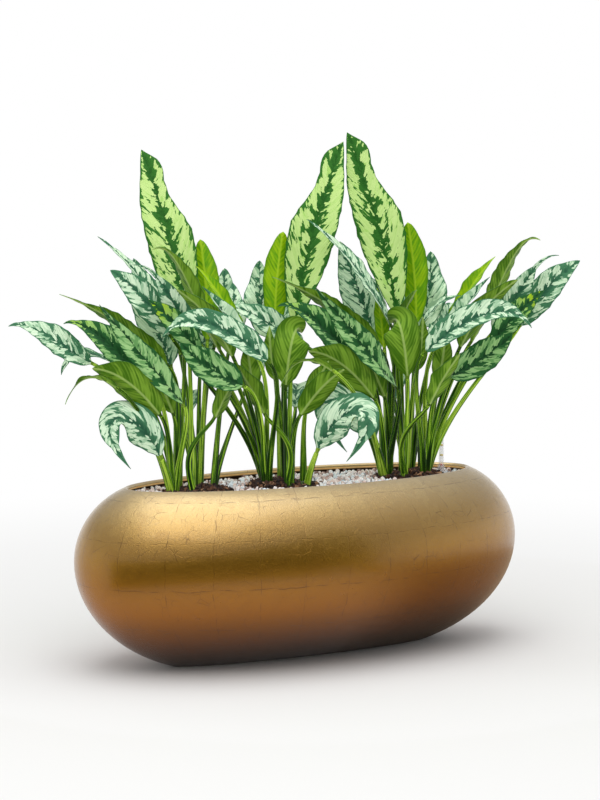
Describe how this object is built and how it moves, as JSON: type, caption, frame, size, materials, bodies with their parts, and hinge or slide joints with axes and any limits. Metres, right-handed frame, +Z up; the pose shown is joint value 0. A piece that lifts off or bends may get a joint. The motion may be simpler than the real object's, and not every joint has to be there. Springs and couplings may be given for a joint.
{
  "type": "potted chinese evergreens in a long oval planter",
  "caption": "Long oval planter with a rounded belly and gold leaf finish, planted with chinese evergreens with long mottled leaves, pale pumice granules and a water level gauge.",
  "frame": {"origin": "centre of the planter's flat underside", "axes": "+X along the planter's long side towards the water gauge, +Y to its back, +Z up"},
  "size_m": [0.9194, 0.4813, 0.8505],
  "materials": {
    "gold_leaf": "gold leaf squares under lacquer on a composite shell",
    "potting_mix": "damp dark potting mix",
    "bark_mix": "dark bark and fibre",
    "pumice": "matt pale granules",
    "clear_plastic": "clear, glossy",
    "red_plastic": "glossy",
    "leaf_green": "smooth satin leaf, silver green with darker mottling"
  },
  "bodies": {
    "root": {"planter": "gold_leaf", "potting_mix": "potting_mix", "pumice_layer": "pumice", "gauge_tube": "clear_plastic", "gauge_collar": "clear_plastic", "gauge_float": "red_plastic", "left_root_ball": "bark_mix", "left_stem_a": "leaf_green", "left_stem_b": "leaf_green", "left_stem_c": "leaf_green", "left_stem_d": "leaf_green", "left_stem_f": "leaf_green", "left_stem_k": "leaf_green", "middle_root_ball": "bark_mix", "middle_stem_a": "leaf_green", "middle_stem_b": "leaf_green", "middle_stem_c": "leaf_green", "middle_stem_d": "leaf_green", "middle_stem_e": "leaf_green", "middle_stem_f": "leaf_green", "middle_stem_k": "leaf_green", "right_root_ball": "bark_mix", "right_stem_a": "leaf_green", "right_stem_b": "leaf_green", "right_stem_c": "leaf_green", "right_stem_d": "leaf_green", "right_stem_e": "leaf_green", "right_stem_f": "leaf_green", "right_stem_k": "leaf_green"}
  },
  "joints": []
}
